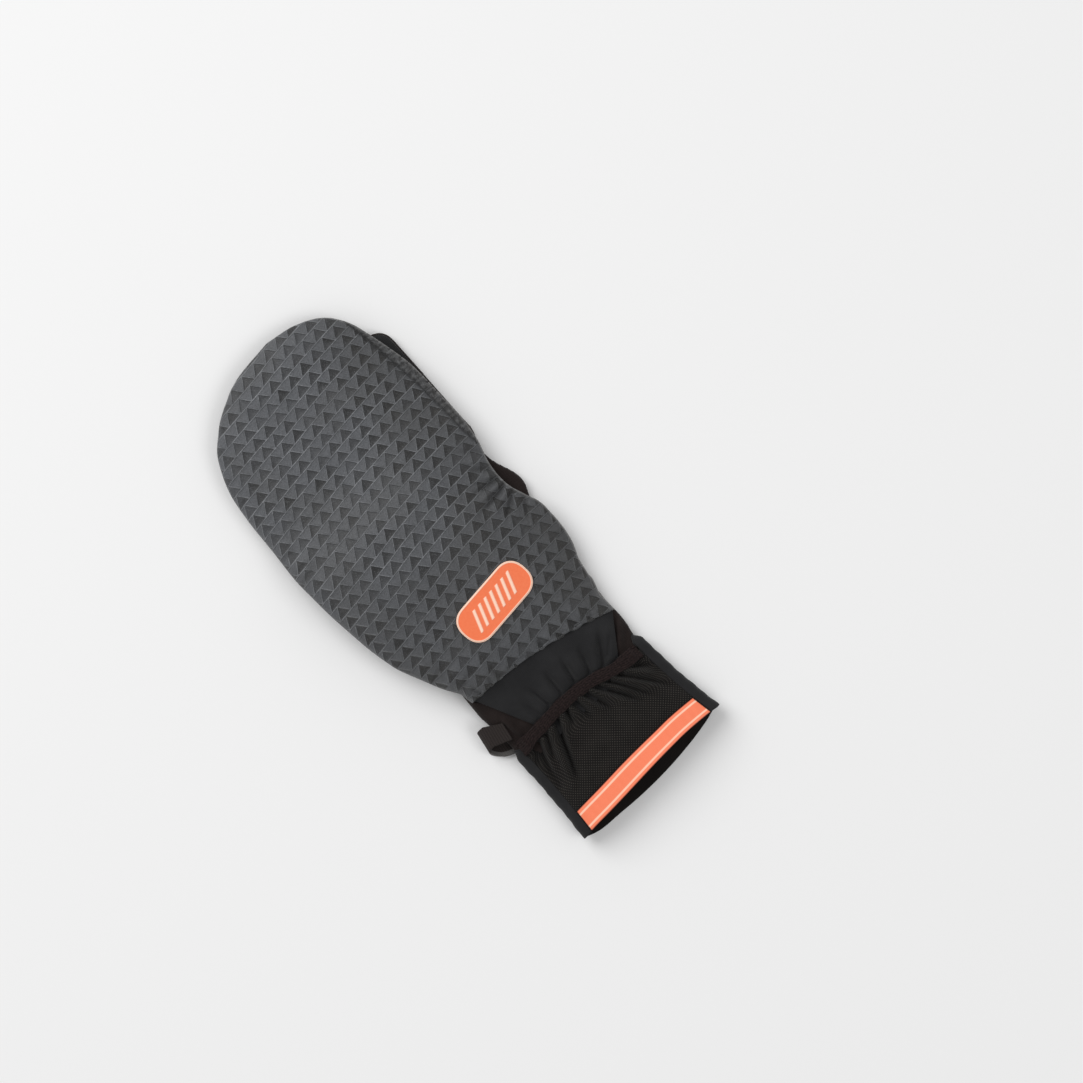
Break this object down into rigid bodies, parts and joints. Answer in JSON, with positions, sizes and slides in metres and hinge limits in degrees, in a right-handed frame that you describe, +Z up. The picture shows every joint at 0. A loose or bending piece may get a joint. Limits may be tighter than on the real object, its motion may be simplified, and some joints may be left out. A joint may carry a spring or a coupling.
{
  "type": "convertible running glove",
  "caption": "Right-hand running glove with an embossed mitten hood pulled over the fingers, an orange band at the cuff and a side tab.",
  "frame": {"origin": "on the surface that the glove lies on, under the middle of the cuff's edge", "axes": "+Y from the cuff to the fingertips, +X to the little-finger side, +Z up from the palm to the back of the hand"},
  "size_m": [0.1122, 0.2789, 0.0275],
  "materials": {
    "softshell": "matte knitted face",
    "embossed_shell": "embossed with rows of small triangles, slight sheen",
    "palm_fabric": "matte brown-black knit",
    "mesh": "open diagonal mesh",
    "elastic": "ribbed elastic",
    "webbing": "flat woven tape",
    "reflective_tape": "satin tape with two pale lines",
    "patch_rubber": "satin moulded rubber"
  },
  "bodies": {
    "root": {"hand_back": "softshell", "hand_palm": "palm_fabric", "thumb": "palm_fabric", "hood_back": "embossed_shell", "hood_palm": "softshell", "pocket_panel": "softshell", "wrist_binding": "elastic", "cuff_mesh": "mesh", "cuff_palm": "palm_fabric", "cuff_strip_thumb_side": "softshell", "cuff_strip_little_side": "softshell", "reflective_band": "reflective_tape", "patch": "patch_rubber", "side_tab": "webbing"}
  },
  "joints": []
}
